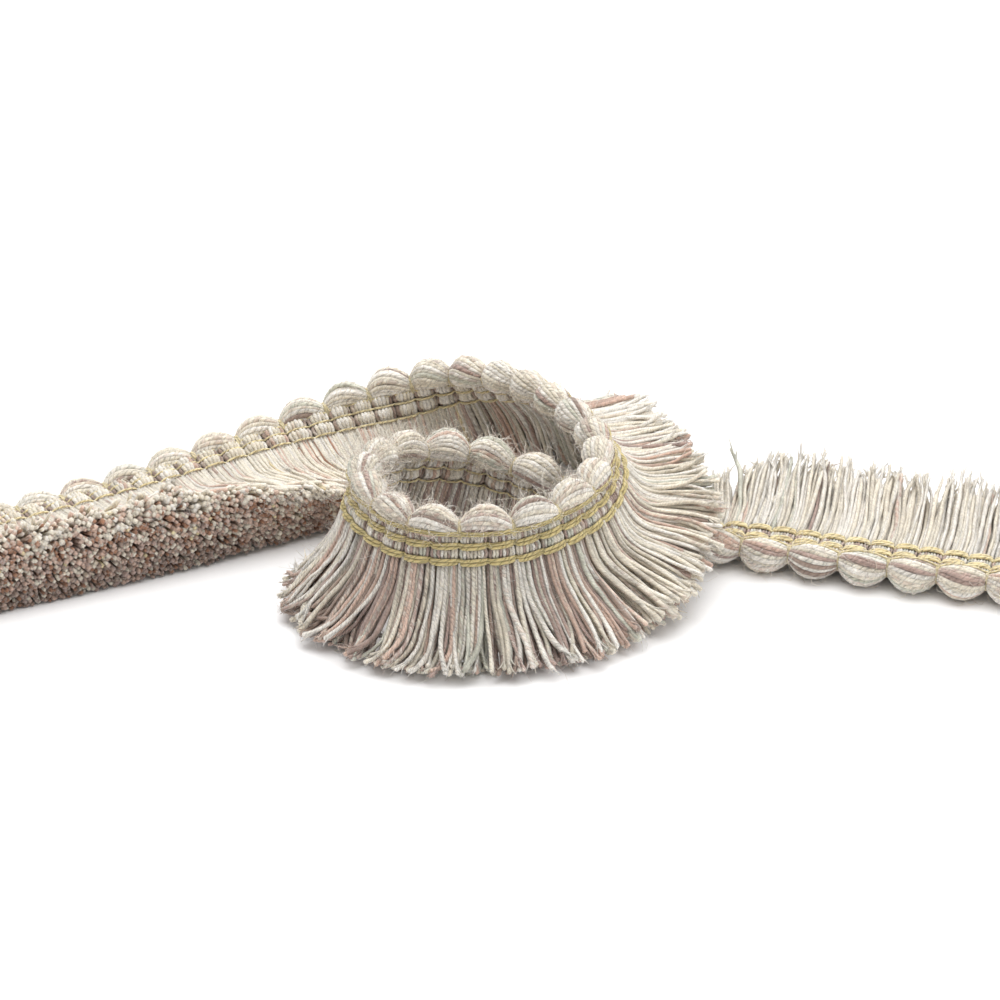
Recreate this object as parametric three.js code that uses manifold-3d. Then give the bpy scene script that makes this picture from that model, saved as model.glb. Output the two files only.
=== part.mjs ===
// Brush fringe trim: one length of upholstery trim, laid down in a loop.
// Millimetres, +Z up. The loop stands on the tips of its fringe, and both ends lie on the surface.
//
// The trim has three sewn parts, which follow one route from the left end to the right end:
//   scallop_edge   the row of soft yarn beads, pinched at every scallop;
//   heading_tape   the woven band under the beads, with two raised rows of stitching;
//   fringe_NN      cut brush fringe, three scallops to a length, its locks rooted in a narrow strip.
import * as THREE from "three";
import * as BufferGeometryUtils from "three/addons/utils/BufferGeometryUtils.js";
import Module from "manifold-3d";

const wasm = await Module();
wasm.setup();

// The middle of the whole trim on the route's own grid: the part's origin is on the surface under it.
const MIDDLE = { x: -2.2, y: -24.4 };

// Scallop edge
const SCALLOPS = 42;
const BEAD_LOWER_EDGE = 1.95;
const BEAD_HALF_HEIGHT = 3.4;
const BEAD_HALF_DEPTH = 3.7;
const PINCH_HALF_HEIGHT = 1.5;
const PINCH_HALF_DEPTH = 1.4;
const BEAD_SIDES = 8;
const BEAD_PLACES = [0, 0.17, 0.5, 0.83];
const BEAD_ROUNDNESS = 0.6;

// Heading tape, measured across from the line of the pinches towards the fringe
const TAPE_BACK = 1.5;
const TAPE_STEPS_PER_SCALLOP = 2;
const TAPE_PROFILE = [
  { across: 2.5, proud: 1.5 },
  { across: 3.4, proud: 2.0 },
  { across: 5.2, proud: 1.3 },
  { across: 7.0, proud: 2.0 },
  { across: 8.0, proud: 1.4 },
];

// Fringe: a narrow strip under the tape, and the locks rooted in it
const STRIP_TOP = 8.7;
const STRIP_BOTTOM = 10.6;
const STRIP_HALF_DEPTH = 1.6;
const STRIP_END_GAP = 0.035;
const LOCK_ROOT = 9.5;
const LOCK_DEPTH = 1.2;
const LOCK_INSET = 0.25;
const LOCK_TIP_TAPER = 0.75;
const LOCK_FILL = 0.66;
const LOCK_PLACES = [0, 0.2, 0.55, 1];
const PILE_LOCK_PLACES = [0, 0.4, 1];
const SCALLOPS_PER_LENGTH = 3;
const LOCKS_ACROSS_LENGTH = 7;
const LAYER_GAP = 1.6;
const LAYER_STAGGER = 0.08;
const TILT_GAIN = 3;
const SURFACE_TAIL = 3;
const PILE_LENGTHS = 3;
const BEND_DONE = 0.45;
const PATH_STEPS = 20;

// How far locks differ from each other: a share of their length, and degrees of lean and of lift
const UNEVEN_LENGTH = 0.07;
const UNEVEN_LEAN = 1.2;
const UNEVEN_LIFT = 2;
const SEEDS = { perLength: 100, perLayer: 40, lean: 0.37, length: 0.71 };

// The route of the pinches, a row for every second scallop from the left end.
//   x, y, z   place of the pinch line
//   roll      turn of the tape about the route: 0 hangs straight down, 90 lies out to the left of the route
//   flare     the same turn at the tips of the fringe, and fan the spread between its outer layers
//   comb      lean of the fringe along the route, and reach its length below the strip's top
const ROUTE = [
  { x: -121.0, y: -23.7, z: 4.15, roll: -99, flare: -97, fan: 44, comb: 0, reach: 22.5 },
  { x: -102.3, y: -14.5, z: 4.15, roll: -99, flare: -97, fan: 44, comb: 0, reach: 23.0 },
  { x: -84.5, y: -4.9, z: 4.75, roll: -98, flare: -96, fan: 42, comb: 4, reach: 24.0 },
  { x: -66.1, y: 4.5, z: 7.4, roll: -88, flare: -89, fan: 34, comb: 16, reach: 24.0 },
  { x: -47.5, y: 12.6, z: 11.2, roll: -74, flare: -75, fan: 24, comb: 21, reach: 23.0 },
  { x: -28.7, y: 19.2, z: 15.7, roll: -38, flare: -33, fan: 14, comb: 20, reach: 22.0 },
  { x: -10.6, y: 19.9, z: 20.0, roll: 18, flare: 10, fan: 10, comb: 14, reach: 21.0 },
  { x: 3.7, y: 9.3, z: 23.4, roll: 46, flare: 76, fan: 10, comb: 4, reach: 22.0 },
  { x: 13.8, y: -6.9, z: 25.3, roll: 44, flare: 82, fan: 10, comb: 0, reach: 21.5 },
  { x: 20.7, y: -25.9, z: 26.2, roll: 36, flare: 84, fan: 10, comb: 0, reach: 21.0 },
  { x: 17.6, y: -45.2, z: 26.1, roll: 22, flare: 60, fan: 12, comb: 0, reach: 22.0 },
  { x: 2.2, y: -58.3, z: 25.4, roll: 16, flare: 47, fan: 13, comb: 0, reach: 22.5 },
  { x: -17.8, y: -57.8, z: 25.7, roll: 16, flare: 46, fan: 13, comb: 0, reach: 22.5 },
  { x: -28.1, y: -42.5, z: 26.5, roll: 20, flare: 38, fan: 12, comb: 0, reach: 22.5 },
  { x: -22.8, y: -25.2, z: 24, roll: 18, flare: 16, fan: 10, comb: 0, reach: 22.0 },
  { x: -6.7, y: -16.5, z: 20, roll: 12, flare: 8, fan: 10, comb: 0, reach: 22.0 },
  { x: 12.7, y: -21.9, z: 15.4, roll: 14, flare: 10, fan: 10, comb: 0, reach: 22.0 },
  { x: 32.0, y: -25.3, z: 7.2, roll: 58, flare: 56, fan: 10, comb: -2, reach: 22.0 },
  { x: 50.3, y: -29.1, z: 4.1, roll: 93, flare: 90, fan: 20, comb: -5, reach: 23.0 },
  { x: 70.3, y: -35.1, z: 4.1, roll: 94, flare: 91, fan: 28, comb: -6, reach: 23.0 },
  { x: 90.2, y: -40.9, z: 4.1, roll: 94, flare: 91, fan: 28, comb: -6, reach: 23.0 },
  { x: 110.1, y: -46.7, z: 4.1, roll: 94, flare: 91, fan: 28, comb: -6, reach: 23.0 },
];

const UP = new THREE.Vector3(0, 0, 1);
const routeCurve = new THREE.CatmullRomCurve3(
  ROUTE.map((row) => new THREE.Vector3(row.x - MIDDLE.x, row.y - MIDDLE.y, row.z)),
  false,
  "catmullrom",
  0.5,
);
const hangCurve = new THREE.CatmullRomCurve3(
  ROUTE.map((row) => new THREE.Vector3(row.roll, row.flare, row.comb)),
  false,
  "catmullrom",
  0.5,
);
const spreadCurve = new THREE.CatmullRomCurve3(
  ROUTE.map((row) => new THREE.Vector3(row.fan, row.reach, 0)),
  false,
  "catmullrom",
  0.5,
);

// The trim's own directions at a number of scallops from its left end
function frameAt(scallop) {
  const t = THREE.MathUtils.clamp(scallop / SCALLOPS, 0, 1);
  const along = routeCurve.getTangent(t).normalize();
  const out = new THREE.Vector3().crossVectors(UP, along).normalize();
  const above = new THREE.Vector3().crossVectors(along, out);
  const hang = hangCurve.getPoint(t);
  const spread = spreadCurve.getPoint(t);
  return {
    place: routeCurve.getPoint(t),
    along,
    out,
    above,
    roll: hang.x,
    flare: hang.y,
    comb: hang.z,
    fan: spread.x,
    reach: spread.y,
  };
}

// From the pinches towards the fringe, at a turn about the route
function acrossAt(frame, turn) {
  const angle = THREE.MathUtils.degToRad(turn);
  return new THREE.Vector3()
    .addScaledVector(frame.above, -Math.cos(angle))
    .addScaledVector(frame.out, Math.sin(angle));
}

// Out of the stitched face, at a turn about the route
function facingAt(frame, turn) {
  const angle = THREE.MathUtils.degToRad(turn);
  return new THREE.Vector3()
    .addScaledVector(frame.out, Math.cos(angle))
    .addScaledVector(frame.above, Math.sin(angle));
}

function onTrim(scallop, across, proud) {
  const frame = frameAt(scallop);
  return frame.place
    .clone()
    .addScaledVector(acrossAt(frame, frame.roll), across)
    .addScaledVector(facingAt(frame, frame.roll), proud);
}

// Moves every point of a closed geometry to where place says, and keeps it one closed surface
function reshape(geometry, place) {
  geometry.deleteAttribute("normal");
  geometry.deleteAttribute("uv");
  const closed = BufferGeometryUtils.mergeVertices(geometry);
  const points = closed.attributes.position;
  const point = new THREE.Vector3();
  for (let i = 0; i < points.count; i++) {
    point.fromBufferAttribute(points, i);
    const moved = place(point);
    points.setXYZ(i, moved.x, moved.y, moved.z);
  }
  return closed;
}

function asSolid(geometry) {
  const vertProperties = new Float32Array(geometry.attributes.position.array);
  const triVerts = new Uint32Array(geometry.index.array);
  return new wasm.Manifold(new wasm.Mesh({ numProp: 3, vertProperties, triVerts }));
}

function asGeometry(solid) {
  const mesh = solid.getMesh();
  const geometry = new THREE.BufferGeometry();
  geometry.setAttribute("position", new THREE.BufferAttribute(mesh.vertProperties, 3));
  geometry.setIndex(new THREE.BufferAttribute(mesh.triVerts, 1));
  return geometry;
}

// How full a bead is along one scallop: 0 at the pinch and 1 at its middle
function beadFullness(withinScallop) {
  return Math.pow(Math.sin(Math.PI * withinScallop), BEAD_ROUNDNESS);
}

// The beads: a tube that narrows at every pinch, level on the side of the tape
function makeScallopEdge() {
  const steps = SCALLOPS * BEAD_PLACES.length;
  const tube = new THREE.CylinderGeometry(1, 1, steps, BEAD_SIDES, steps);
  return reshape(tube, (point) => {
    const step = Math.round(point.y + steps / 2);
    const within = BEAD_PLACES[step % BEAD_PLACES.length];
    const scallop = Math.floor(step / BEAD_PLACES.length) + within;
    const fullness = beadFullness(within);
    const halfHeight = THREE.MathUtils.lerp(PINCH_HALF_HEIGHT, BEAD_HALF_HEIGHT, fullness);
    const halfDepth = THREE.MathUtils.lerp(PINCH_HALF_DEPTH, BEAD_HALF_DEPTH, fullness);
    const across = BEAD_LOWER_EDGE - halfHeight + point.z * halfHeight;
    return onTrim(scallop, across, point.x * halfDepth);
  });
}

// The woven band, its back plain and its face raised along two rows of stitching
function makeHeadingTape() {
  const steps = SCALLOPS * TAPE_STEPS_PER_SCALLOP;
  const rows = TAPE_PROFILE.length - 1;
  const band = new THREE.BoxGeometry(steps, rows, 1, steps, rows, 1);
  return reshape(band, (point) => {
    const scallop = (point.x + steps / 2) / TAPE_STEPS_PER_SCALLOP;
    const row = TAPE_PROFILE[Math.round(point.y + rows / 2)];
    return onTrim(scallop, row.across, point.z > 0 ? row.proud : -TAPE_BACK);
  });
}

// A number from -1 to 1 that differs from lock to lock and is the same every time
function uneven(seed) {
  const wave = Math.sin(seed * 12.9898) * 43758.5453;
  return 2 * (wave - Math.floor(wave)) - 1;
}

// The line of one strand from its root in the strip to its tip, bending from the tape's turn to the flare.
// A strand that reaches the surface lies along it, on the layers that are already there.
function traceStrand(scallop, layer, seed, length) {
  const frame = frameAt(scallop);
  const lowest = floorUnder(frame, layer);
  const turnAtTip = frame.flare + (layer * frame.fan) / 2 + UNEVEN_LIFT * uneven(seed);
  const leanAtTip = frame.comb + UNEVEN_LEAN * uneven(seed + SEEDS.lean);
  const spacing = STRIP_HALF_DEPTH - LOCK_DEPTH / 2 - LOCK_INSET;
  const point = onTrim(scallop, LOCK_ROOT, layer * spacing);
  const path = [point.clone()];
  for (let step = 1; step <= PATH_STEPS; step++) {
    const gone = Math.min((step - 0.5) / PATH_STEPS / BEND_DONE, 1);
    const bend = gone * gone * (3 - 2 * gone);
    const turn = THREE.MathUtils.lerp(frame.roll, turnAtTip, bend);
    const lean = THREE.MathUtils.degToRad(leanAtTip * bend);
    const heading = acrossAt(frame, turn)
      .multiplyScalar(Math.cos(lean))
      .addScaledVector(frame.along, Math.sin(lean));
    point.addScaledVector(heading, length / PATH_STEPS);
    point.z = Math.max(point.z, lowest);
    path.push(point.clone());
  }
  return path;
}

// The height at which a layer's middle lies on the surface: which layer is underneath follows the flare
function floorUnder(frame, layer) {
  const tilt = Math.sin(THREE.MathUtils.degToRad(frame.flare));
  const layersBelow = (1 + layer * THREE.MathUtils.clamp(TILT_GAIN * tilt, -1, 1)) / 2;
  return LOCK_DEPTH / 2 + layersBelow * LAYER_GAP;
}

// How long a lock is: its own length, less what would run on along the surface past a short tail
function lockLength(scallop, layer, seed) {
  const frame = frameAt(scallop);
  const length = frame.reach * (1 + UNEVEN_LENGTH * uneven(seed + SEEDS.length));
  const lowest = floorUnder(frame, layer);
  const path = traceStrand(scallop, layer, seed, length);
  const lying = path.filter((point) => point.z <= lowest).length * (length / PATH_STEPS);
  return length - Math.max(lying - SURFACE_TAIL, 0);
}

// One lock: a four-sided bundle between the paths of its two edges, so that it spreads as the fringe does
function makeLock(scallop, layer, seed, places) {
  const halfWidth = (LOCK_FILL * SCALLOPS_PER_LENGTH) / LOCKS_ACROSS_LENGTH / 2;
  const length = lockLength(scallop, layer, seed);
  const edges = [-1, 1].map((side) => traceStrand(scallop + side * halfWidth, layer, seed, length));
  const last = places.length - 1;
  const block = new THREE.BoxGeometry(1, 1, last, 1, 1, last);
  return reshape(block, (point) => {
    const place = places[Math.round(point.z + last / 2)];
    const step = Math.round(place * PATH_STEPS);
    const before = Math.max(step - 1, 0);
    const after = Math.min(step + 1, PATH_STEPS);
    const edge = edges[point.y > 0 ? 1 : 0];
    const width = new THREE.Vector3().subVectors(edges[1][step], edges[0][step]).normalize();
    const run = new THREE.Vector3().subVectors(edge[after], edge[before]).normalize();
    const thick = new THREE.Vector3().crossVectors(width, run).normalize();
    const depth = LOCK_DEPTH * THREE.MathUtils.lerp(1, LOCK_TIP_TAPER, place);
    const moved = edge[step].clone().addScaledVector(thick, point.x * depth);
    moved.z = Math.max(moved.z, 0);
    return moved;
  });
}

// The strip that the locks of one length are rooted in, a little apart from the tape
function makeStrip(first, last) {
  const steps = (last - first) * TAPE_STEPS_PER_SCALLOP;
  const strip = new THREE.BoxGeometry(steps, 1, 1, steps, 1, 1);
  return reshape(strip, (point) => {
    const run = (point.x + steps / 2) / steps;
    const scallop = THREE.MathUtils.lerp(first + STRIP_END_GAP, last - STRIP_END_GAP, run);
    const across = point.y > 0 ? STRIP_BOTTOM : STRIP_TOP;
    return onTrim(scallop, across, 2 * point.z * STRIP_HALF_DEPTH);
  });
}

// One length of fringe: in the thick pile of the left end it has three layers of locks, and elsewhere two
function makeFringeLength(number) {
  const first = number * SCALLOPS_PER_LENGTH;
  const last = first + SCALLOPS_PER_LENGTH;
  const layers = number < PILE_LENGTHS ? [-1, 0, 1] : [-1, 1];
  const places = number < PILE_LENGTHS ? PILE_LOCK_PLACES : LOCK_PLACES;
  let solid = asSolid(makeStrip(first, last));
  for (const layer of layers) {
    const stagger = 0.5 + LAYER_STAGGER * layer;
    for (let lock = 0; lock < LOCKS_ACROSS_LENGTH; lock++) {
      const scallop = first + ((lock + stagger) * SCALLOPS_PER_LENGTH) / LOCKS_ACROSS_LENGTH;
      const seed = number * SEEDS.perLength + (layer + 1) * SEEDS.perLayer + lock;
      solid = solid.add(asSolid(makeLock(scallop, layer, seed, places)));
    }
  }
  return asGeometry(solid);
}

function makeMesh(name, geometry, colour, roughness) {
  geometry.computeVertexNormals();
  const material = new THREE.MeshStandardMaterial({ color: colour, roughness, metalness: 0 });
  material.name = name.replace(/_\d+$/, "");
  const mesh = new THREE.Mesh(geometry, material);
  mesh.name = name;
  return mesh;
}

const trim = new THREE.Group();
trim.name = "brush_fringe_trim";
trim.add(makeMesh("scallop_edge", makeScallopEdge(), 0xdcd2c8, 0.9));
trim.add(makeMesh("heading_tape", makeHeadingTape(), 0xb5a878, 0.85));
for (let number = 0; number < SCALLOPS / SCALLOPS_PER_LENGTH; number++) {
  const name = "fringe_" + String(number + 1).padStart(2, "0");
  trim.add(makeMesh(name, makeFringeLength(number), 0xcfc4b8, 0.9));
}

export default trim;
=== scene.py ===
import math

import bpy
import numpy as np
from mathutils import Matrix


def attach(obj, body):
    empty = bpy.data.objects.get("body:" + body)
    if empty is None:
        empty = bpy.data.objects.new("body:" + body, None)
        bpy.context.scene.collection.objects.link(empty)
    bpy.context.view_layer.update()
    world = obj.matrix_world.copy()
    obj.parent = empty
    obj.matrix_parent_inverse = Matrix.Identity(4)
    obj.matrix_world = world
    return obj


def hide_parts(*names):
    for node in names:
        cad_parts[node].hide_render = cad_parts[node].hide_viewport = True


bl_info = {
    "name": "Brush Fringe Trim",
    "version": (1, 0, 0),
    "blender": (4, 5, 0),
    "location": "3D View > Sidebar > Fringe",
    "description": "Yarns, stitched heading and studio for one looped length of brush fringe trim",
    "category": "Object",
}

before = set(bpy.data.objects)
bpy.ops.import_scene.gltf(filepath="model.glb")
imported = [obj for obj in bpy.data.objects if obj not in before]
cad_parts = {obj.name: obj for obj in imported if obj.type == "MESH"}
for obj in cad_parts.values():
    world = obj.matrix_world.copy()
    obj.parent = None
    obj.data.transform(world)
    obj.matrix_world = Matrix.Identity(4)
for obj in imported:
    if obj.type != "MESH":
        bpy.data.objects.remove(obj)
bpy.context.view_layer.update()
MM = 0.001
UP = np.array([0.0, 0.0, 1.0])
# No yarn's skin is lower than this over the surface. Lengths are in millimetres up to the mesh.
LOWEST = 0.03

# The route of the pinches in millimetres and degrees, as the solids have it: a row for every second
# scallop, with x, y, z, roll, flare, fan, comb and reach.
MIDDLE = np.array([-2.2, -24.4, 0.0])
SCALLOPS = 42
PITCH = 10.0
ROUTE = np.array([
    [-121.0, -23.7, 4.15, -99, -97, 44, 0, 22.5],
    [-102.3, -14.5, 4.15, -99, -97, 44, 0, 23.0],
    [-84.5, -4.9, 4.75, -98, -96, 42, 4, 24.0],
    [-66.1, 4.5, 7.4, -88, -89, 34, 16, 24.0],
    [-47.5, 12.6, 11.2, -74, -75, 24, 21, 23.0],
    [-28.7, 19.2, 15.7, -38, -33, 14, 20, 22.0],
    [-10.6, 19.9, 20.0, 18, 10, 10, 14, 21.0],
    [3.7, 9.3, 23.4, 46, 76, 10, 4, 22.0],
    [13.8, -6.9, 25.3, 44, 82, 10, 0, 21.5],
    [20.7, -25.9, 26.2, 36, 84, 10, 0, 21.0],
    [17.6, -45.2, 26.1, 22, 60, 12, 0, 22.0],
    [2.2, -58.3, 25.4, 16, 47, 13, 0, 22.5],
    [-17.8, -57.8, 25.7, 16, 46, 13, 0, 22.5],
    [-28.1, -42.5, 26.5, 20, 38, 12, 0, 22.5],
    [-22.8, -25.2, 24.0, 18, 16, 10, 0, 22.0],
    [-6.7, -16.5, 20.0, 12, 8, 10, 0, 22.0],
    [12.7, -21.9, 15.4, 14, 10, 10, 0, 22.0],
    [32.0, -25.3, 7.2, 58, 56, 10, -2, 22.0],
    [50.3, -29.1, 4.1, 93, 90, 20, -5, 23.0],
    [70.3, -35.1, 4.1, 94, 91, 28, -6, 23.0],
    [90.2, -40.9, 4.1, 94, 91, 28, -6, 23.0],
    [110.1, -46.7, 4.1, 94, 91, 28, -6, 23.0],
])

# Scallops to a length of fringe, and how many lengths at the left end show their cut ends as a pile
SCALLOPS_PER_LENGTH = 3
LENGTHS = SCALLOPS // SCALLOPS_PER_LENGTH
PILE_LENGTHS = 4

# Beads: the half sizes of their section at the middle and at the pinch, the radius of a pinched yarn,
# and the middle and spread, in scallops, of the hairiest ones
BEAD_LOWER_EDGE = 1.95
BEAD_HALF = (3.4, 3.7)
PINCH_HALF = (1.5, 1.4)
PINCHED_YARN = 0.36
BEAD_PLACES = np.array([0.0, 0.05, 0.13, 0.25, 0.4, 0.6, 0.75, 0.87, 0.95])
HAIRIEST = (26.5, 5)

# Rows of the heading, measured from the pinches towards the fringe, the bundles of upright yarns in a
# scallop, and how dim those are down between the rows
FIRST_ROW = 0.9
SECOND_ROW = 3.5
THIRD_ROW = 6.8
BUNDLES = 2
IN_SHADE = 0.92

# The photograph's view: the point looked at, the distance in metres, the angle from above the
# surface, and the lens
CAMERA_AIM = (0.0022, 0.0244)
CAMERA_DISTANCE = 0.9
CAMERA_RISE = math.radians(28)
SENSOR = 36
LENS_TO_SENSOR = 4.18


def hex_to_linear(colour):
    """A colour written as sRGB hex, as linear red, green and blue."""
    parts = [int(colour[i:i + 2], 16) / 255 for i in (1, 3, 5)]
    return tuple(p / 12.92 if p <= 0.04045 else ((p + 0.055) / 1.055) ** 2.4 for p in parts)


def unit(vectors):
    return vectors / np.linalg.norm(vectors, axis=-1, keepdims=True)


def follow(share):
    """The route's values and slopes at a share of its length: a smooth curve through every row."""
    last = len(ROUTE) - 1
    rows = np.vstack([2 * ROUTE[0] - ROUTE[1], ROUTE, 2 * ROUTE[-1] - ROUTE[-2]])
    spot = np.clip(share, 0, 1) * last
    i = np.minimum(spot.astype(int), last - 1)
    w = (spot - i)[..., None]
    a, b, c, d = (rows[i + k] for k in range(4))
    v, u = (c - a) / 2, (d - b) / 2
    cubic, square = 2 * b - 2 * c + v + u, -3 * b + 3 * c - 2 * v - u
    return cubic * w**3 + square * w**2 + v * w + b, 3 * cubic * w**2 + 2 * square * w + v


def trim_at(scallop):
    """The trim's own directions and hang at an array of scallops from its left end."""
    scallop = np.asarray(scallop, dtype=float)
    value, slope = follow(scallop / SCALLOPS)
    along = unit(slope[..., :3])
    out = unit(np.cross(np.broadcast_to(UP, along.shape), along))
    hang = dict(zip(("roll", "flare", "fan", "comb", "reach"), np.moveaxis(value[..., 3:], -1, 0)))
    beyond = (scallop - np.clip(scallop, 0, SCALLOPS))[..., None] * PITCH
    place = value[..., :3] - MIDDLE + along * beyond
    return {"place": place, "along": along, "out": out, "above": np.cross(along, out), **hang}


def across_at(trim, turn):
    """From the pinches towards the fringe, at a turn in degrees about the route."""
    angle = np.radians(turn)[..., None]
    return -trim["above"] * np.cos(angle) + trim["out"] * np.sin(angle)


def facing_at(trim, turn):
    """Out of the stitched face, at a turn in degrees about the route."""
    angle = np.radians(turn)[..., None]
    return trim["out"] * np.cos(angle) + trim["above"] * np.sin(angle)


def on_trim(scallop, across, proud):
    """Points at places along and across the heading, and how far they stand out of its middle."""
    trim = trim_at(scallop)
    across, proud = (np.asarray(x, dtype=float)[..., None] for x in (across, proud))
    return (trim["place"] + across_at(trim, trim["roll"]) * across
            + facing_at(trim, trim["roll"]) * proud)


def fullness(scallop):
    """How full a bead is along its scallop: 0 at the pinch and 1 at the middle."""
    return np.abs(np.sin(np.pi * scallop)) ** 0.75


def smooth_noise(values, seed):
    """A number from -1 to 1 that changes smoothly with values and is the same every time."""
    knots = np.random.default_rng(seed).uniform(-1, 1, 4096)
    floor = np.floor(values).astype(int)
    w = values - floor
    w = w * w * (3 - 2 * w)
    return knots[floor % 4096] * (1 - w) + knots[(floor + 1) % 4096] * w


def above_surface(points, height):
    """The same points, none of them lower than height."""
    return np.concatenate([points[:, :2], np.maximum(points[:, 2:], height)], axis=1)


def tube(paths, radii, sides, colours, start, plies=None, clear=1.0):
    """Closed tubes on paths (n, k, 3): their points, faces, map, and the colours of their two plies.
    start is the run in mm at which each begins, and clear how well its plies show, from 0 to 1."""
    n, k, _ = paths.shape
    plies = colours if plies is None else plies
    radii = np.broadcast_to(radii, (n, k))
    run = unit(np.gradient(paths, axis=1) + 1e-9)
    normal = np.cross(run[:, 0], np.where(np.abs(run[:, 0, 2:]) < 0.8, UP, np.array([1.0, 0, 0])))
    angle = 2 * np.pi * np.arange(sides) / sides
    points = np.empty((n, k, sides, 3))
    for i in range(k):
        normal = unit(normal - np.sum(normal * run[:, i], axis=-1, keepdims=True) * run[:, i])
        side = np.cross(run[:, i], normal)
        spoke = normal[:, None] * np.cos(angle)[:, None] + side[:, None] * np.sin(angle)[:, None]
        points[:, i] = paths[:, i, None] + radii[:, i, None, None] * spoke
    points[..., 2] = np.maximum(points[..., 2], LOWEST)
    steps = np.linalg.norm(np.diff(paths, axis=1), axis=-1)
    distance = np.concatenate([np.zeros((n, 1)), np.cumsum(steps, axis=1)], axis=1) + start[:, None]
    index = np.arange(n * k * sides).reshape(n, k, sides)
    near, far = index[:, :-1], index[:, 1:]
    quads = np.stack([near, np.roll(near, -1, 2), np.roll(far, -1, 2), far], axis=-1).reshape(-1, 4)
    u = np.broadcast_to(np.arange(sides) / sides, (n, k - 1, sides))
    v0 = np.broadcast_to(distance[:, :-1, None], u.shape)
    v1 = np.broadcast_to(distance[:, 1:, None], u.shape)
    step = 1 / sides
    quad_map = np.stack([u, v0, u + step, v0, u + step, v1, u, v1], axis=-1).reshape(-1, 2)
    caps = np.concatenate([index[:, 0, ::-1], index[:, -1]])
    cap_v = np.concatenate([distance[:, 0], distance[:, -1]])
    cap_map = np.stack(np.broadcast_arrays(np.arange(sides) / sides, cap_v[:, None]), axis=-1)
    shown = np.broadcast_to(np.asarray(clear, dtype=float).reshape(-1, 1, 1), (n, k, 1))
    tints = []
    for tint in (colours, plies):
        tint = np.broadcast_to(tint if tint.ndim == 3 else tint[:, None], (n, k, 3))
        tints.append(np.repeat(np.concatenate([tint, shown], axis=2).reshape(-1, 4), sides, axis=0))
    return {
        "points": points.reshape(-1, 3),
        "yarn_colour": tints[0],
        "ply_colour": tints[1],
        "quads": quads,
        "quad_map": quad_map,
        "caps": caps,
        "cap_map": cap_map.reshape(-1, 2),
    }


def yarn_object(name, tubes, material, node_names=()):
    """One joined mesh from several sets of tubes, which rides on the part's own body."""
    loops, totals, maps, points, offset = [], [], [], [], 0
    for t in tubes:
        for faces, face_map in ((t["quads"], t["quad_map"]), (t["caps"], t["cap_map"])):
            loops.append((faces + offset).ravel())
            totals.append(np.full(len(faces), faces.shape[1]))
            maps.append(face_map)
        points.append(t["points"])
        offset += len(t["points"])
    loops, totals, points = np.concatenate(loops), np.concatenate(totals), np.concatenate(points)
    mesh = bpy.data.meshes.new(name)
    mesh.vertices.add(len(points))
    mesh.vertices.foreach_set("co", (points * MM).ravel())
    mesh.loops.add(len(loops))
    mesh.loops.foreach_set("vertex_index", loops.astype(np.int32))
    mesh.polygons.add(len(totals))
    mesh.polygons.foreach_set("loop_start", (np.cumsum(totals) - totals).astype(np.int32))
    mesh.polygons.foreach_set("use_smooth", np.ones(len(totals), dtype=bool))
    mesh.update(calc_edges=True)
    run_map = mesh.uv_layers.new(name="yarn_run")
    run_map.data.foreach_set("uv", np.concatenate(maps).astype(np.float32).ravel())
    for colour in ("yarn_colour", "ply_colour"):
        tint = mesh.color_attributes.new(colour, "FLOAT_COLOR", "POINT")
        values = np.concatenate([t[colour] for t in tubes]).astype(np.float32)
        tint.data.foreach_set("color", values.ravel())
    mesh.materials.append(material)
    piece = bpy.data.objects.new(name, mesh)
    bpy.context.scene.collection.objects.link(piece)
    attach(piece, "root")
    if node_names:
        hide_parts(*node_names)
    return piece


def round_tips(paths, radii):
    """The same tubes with a short step past each far end, where they close to half their thickness."""
    tip = paths[:, -1:] + unit(paths[:, -1:] - paths[:, -2:-1]) * radii[:, -1:, None] * 0.5
    return np.concatenate([paths, tip], axis=1), np.concatenate([radii, radii[:, -1:] * 0.5], axis=1)


def pick(rng, shares, count):
    """A colour for each of count yarns, from shares of named ones, each a little lighter or darker."""
    named = bpy.context.scene.fringe_colours
    colours = np.array([getattr(named, name)[:3] for name in shares])
    weights = np.array(list(shares.values()), dtype=float)
    choice = rng.choice(len(weights), count, p=weights / weights.sum())
    return colours[choice] * rng.uniform(0.88, 1.08, (count, 1))


def add_node(tree, kind, settings, links=()):
    """One node with its settings and links: names are properties or sockets, numbers are sockets."""
    node = tree.nodes.new(kind)
    for key, value in settings.items():
        if isinstance(key, str) and hasattr(node, key):
            setattr(node, key, value)
        else:
            node.inputs[key].default_value = value
    for key, source in dict(links).items():
        tree.links.new(source, node.inputs[key])
    return node


def new_material(name, rows, links, settings, tones=()):
    """A material from rows of a node's name, its kind and operation, its settings and its links: each
    to a row's first output, or to a row and an output. Tones are the two colours of a ramp."""
    material = bpy.data.materials.new(name)
    material.use_nodes = True
    tree = material.node_tree
    shader = tree.nodes["Principled BSDF"]
    made = {}

    def output(source):
        row, name = source if isinstance(source, tuple) else (source, 0)
        return made[row].outputs[name]

    for row, kind, values, sources in rows:
        kind, _, operation = kind.partition(" ")
        values = {"operation": operation, **values} if operation else values
        sources = {key: output(source) for key, source in sources.items()}
        made[row] = add_node(tree, "ShaderNode" + kind, values, sources)
    for ramp, colours in dict(tones).items():
        for element, colour in zip(made[ramp].color_ramp.elements, colours):
            element.color = (*hex_to_linear(colour), 1)
    for socket, source in links.items():
        tree.links.new(output(source), shader.inputs[socket])
    for socket, value in settings.items():
        shader.inputs[socket].default_value = value
    return material


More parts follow.
